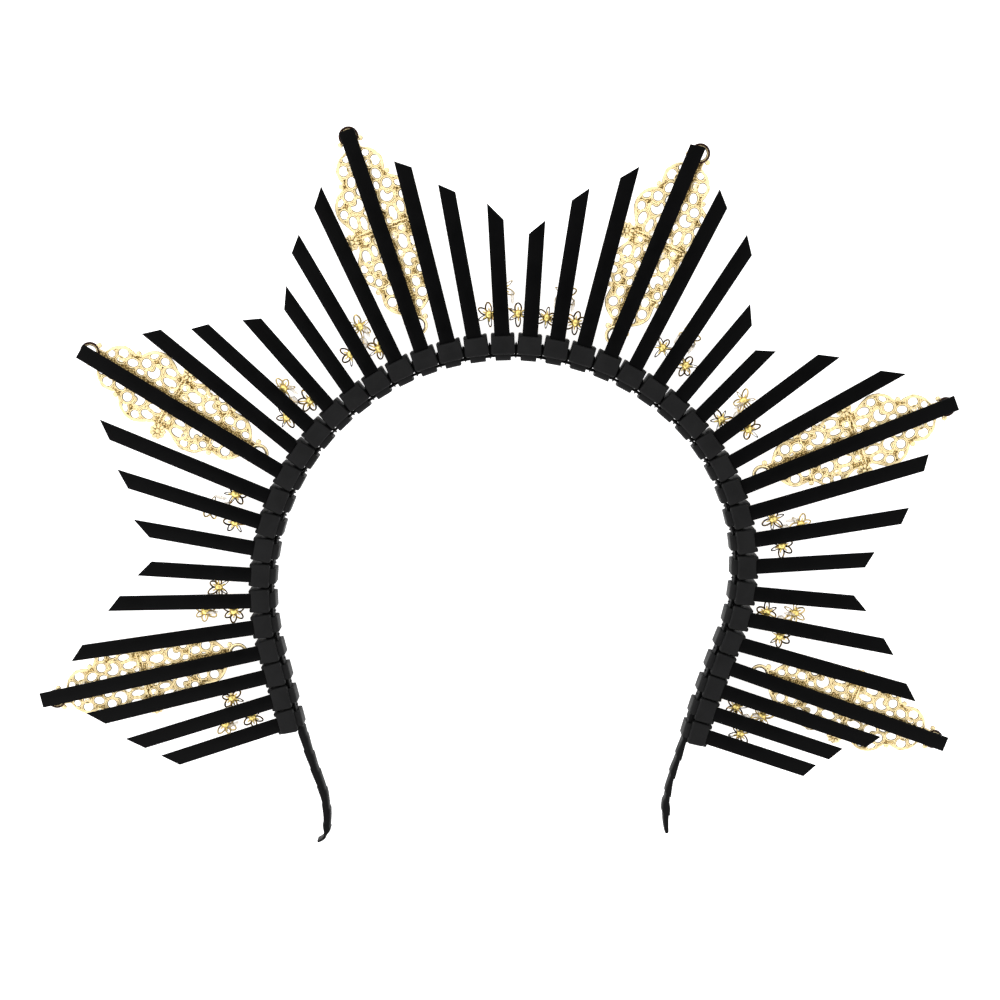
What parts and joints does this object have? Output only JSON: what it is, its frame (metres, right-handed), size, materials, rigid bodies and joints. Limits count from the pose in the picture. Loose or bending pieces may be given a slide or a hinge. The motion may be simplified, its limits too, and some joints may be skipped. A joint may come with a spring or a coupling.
{
  "type": "crown headband",
  "caption": "Sunburst crown headband: black cable ties closed round a narrow ribbon-wrapped band as rays, with pierced gold leaves and small gold flowers behind them.",
  "frame": {"origin": "under the middle of the crown's outline, on the surface that it lies on", "axes": "the crown lies flat on its back: +Z is its front, +Y is its top, the way the middle rays point, and +X is to the right when it is seen from the front"},
  "size_m": [0.2906, 0.2274, 0.0084],
  "materials": {
    "ribbon_band": "black satin ribbon wound round a thin band",
    "cable_tie": "black nylon, satin straps and matte heads",
    "gold_leaf": "light gold-plated stamped filigree",
    "gold_flower": "light gold-plated wire petals and domed centres"
  },
  "bodies": {
    "root": {"band": "ribbon_band", "tie_01": "cable_tie", "tie_02": "cable_tie", "tie_03": "cable_tie", "tie_04": "cable_tie", "tie_05": "cable_tie", "tie_06": "cable_tie", "tie_07": "cable_tie", "tie_08": "cable_tie", "tie_09": "cable_tie", "tie_10": "cable_tie", "tie_11": "cable_tie", "tie_12": "cable_tie", "tie_13": "cable_tie", "tie_14": "cable_tie", "tie_15": "cable_tie", "tie_16": "cable_tie", "tie_17": "cable_tie", "tie_18": "cable_tie", "tie_19": "cable_tie", "tie_20": "cable_tie", "tie_21": "cable_tie", "tie_22": "cable_tie", "tie_23": "cable_tie", "tie_24": "cable_tie", "tie_25": "cable_tie", "tie_26": "cable_tie", "tie_27": "cable_tie", "tie_28": "cable_tie", "tie_29": "cable_tie", "tie_30": "cable_tie", "tie_31": "cable_tie", "tie_32": "cable_tie", "tie_33": "cable_tie", "tie_34": "cable_tie", "tie_35": "cable_tie", "tie_36": "cable_tie", "tie_37": "cable_tie", "tie_38": "cable_tie", "tie_39": "cable_tie", "tie_40": "cable_tie", "tie_41": "cable_tie", "tie_42": "cable_tie", "leaf_1": "gold_leaf", "leaf_2": "gold_leaf", "leaf_3": "gold_leaf", "leaf_4": "gold_leaf", "leaf_5": "gold_leaf", "leaf_6": "gold_leaf", "flowers_1": "gold_flower", "flowers_2": "gold_flower", "flowers_3": "gold_flower", "flowers_4": "gold_flower", "flowers_5": "gold_flower", "flowers_6": "gold_flower"}
  },
  "joints": []
}
